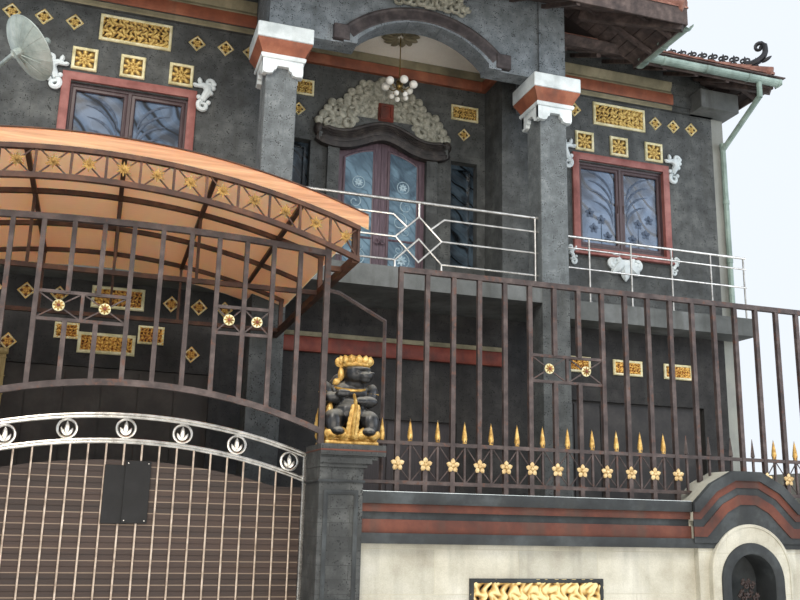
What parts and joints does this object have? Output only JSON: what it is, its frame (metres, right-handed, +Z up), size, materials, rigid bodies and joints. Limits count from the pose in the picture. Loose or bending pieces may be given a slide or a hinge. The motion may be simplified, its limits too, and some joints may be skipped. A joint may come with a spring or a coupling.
{
  "type": "two-storey stone-clad balinese house with carport canopy and street wall",
  "caption": "Two-storey stone-clad Balinese house with an arched balcony bay, tiled hip roofs, carport canopy, street wall with fence, guardian posts and a sliding gate.",
  "frame": {"origin": "on the ground under the floor slab, on the house centre line, in the plane of the upper street wall", "axes": "+Z up, -Y towards the street, +X to the right seen from the street"},
  "size_m": [10.98, 12.85, 10.705],
  "materials": {
    "dark_stone": "sawn, pitted volcanic stone, matte",
    "grey_stone": "sawn light grey volcanic stone, matte",
    "post_stone": "dark grey volcanic stone, matte",
    "carved_stone": "carved soft stone, weathered",
    "black_stone": "black painted stone with gold paint, satin",
    "concrete": "painted concrete, matte",
    "render": "cement render, matte",
    "cream_plaster": "cream painted plaster, matte",
    "plaster": "cream painted plaster, matte",
    "clay_tile": "red clay roof tile, weathered",
    "crest": "black fired clay ridge ornament",
    "gutter": "painted sheet gutter, satin",
    "terracotta_paint": "terracotta paint on a plastered surround",
    "door_wood": "dark stained hardwood, satin",
    "slat_wood": "brown wood-grained slats, satin",
    "glass": "etched window glass",
    "stainless": "stainless tube, brushed",
    "dark_steel": "dark painted steel, dusty",
    "rusty_steel": "brown paint over rusting steel tube",
    "copper_sheet": "copper-coloured translucent roofing sheet, satin",
    "dish_metal": "grey painted steel, satin",
    "white_glass": "opal glass lamp globes on brass"
  },
  "bodies": {
    "house": {"floor_slab": "concrete", "upper_slab": "concrete", "ground_front_wall": "dark_stone", "upper_wall_left": "dark_stone", "upper_wall_right": "dark_stone", "recess_wall": "dark_stone", "side_wall_left": "render", "side_wall_right": "render", "back_wall": "render", "back_glass_lower": "glass", "back_glass_upper": "glass", "recess_glass": "glass", "window_glass_left": "glass", "window_glass_right": "glass", "portico_wall": "grey_stone", "portico_ceiling": "plaster", "left_column": "grey_stone", "right_column": "grey_stone", "main_roof": "clay_tile", "centre_roof": "clay_tile", "crest_left": "crest", "crest_right": "crest", "ridge_crest": "crest", "gutter_left": "gutter", "gutter_right": "gutter", "window_left": "terracotta_paint", "window_right": "terracotta_paint", "balcony_door": "door_wood", "door_surround": "grey_stone", "door_crown": "carved_stone", "balcony_railing": "stainless", "wing_railing_left": "stainless", "wing_railing_right": "stainless", "folding_door_left": "dark_steel", "folding_door_right": "dark_steel", "entrance_door": "door_wood", "chandelier": "white_glass", "satellite_dish": "dish_metal", "canopy_sheet": "copper_sheet", "canopy_truss": "rusty_steel", "canopy_frame": "rusty_steel", "canopy_side_left": "rusty_steel", "canopy_side_right": "rusty_steel", "canopy_tie_front": "rusty_steel", "canopy_tie_back": "rusty_steel", "gate_post_left": "post_stone", "gate_post_right": "post_stone", "guardian_left": "black_stone", "guardian_right": "black_stone", "front_wall": "cream_plaster", "boundary_wall_left": "render", "boundary_wall_right": "render", "front_fence": "rusty_steel", "gate_grille": "rusty_steel", "gate_track": "dark_steel"},
    "gate": {"gate_frame": "stainless", "gate_slats": "slat_wood"}
  },
  "joints": [
    {"name": "gate_slide", "type": "slide", "parent": "house", "child": "gate", "axis": [1, 0, 0], "range_m": [0, 2.7]}
  ]
}
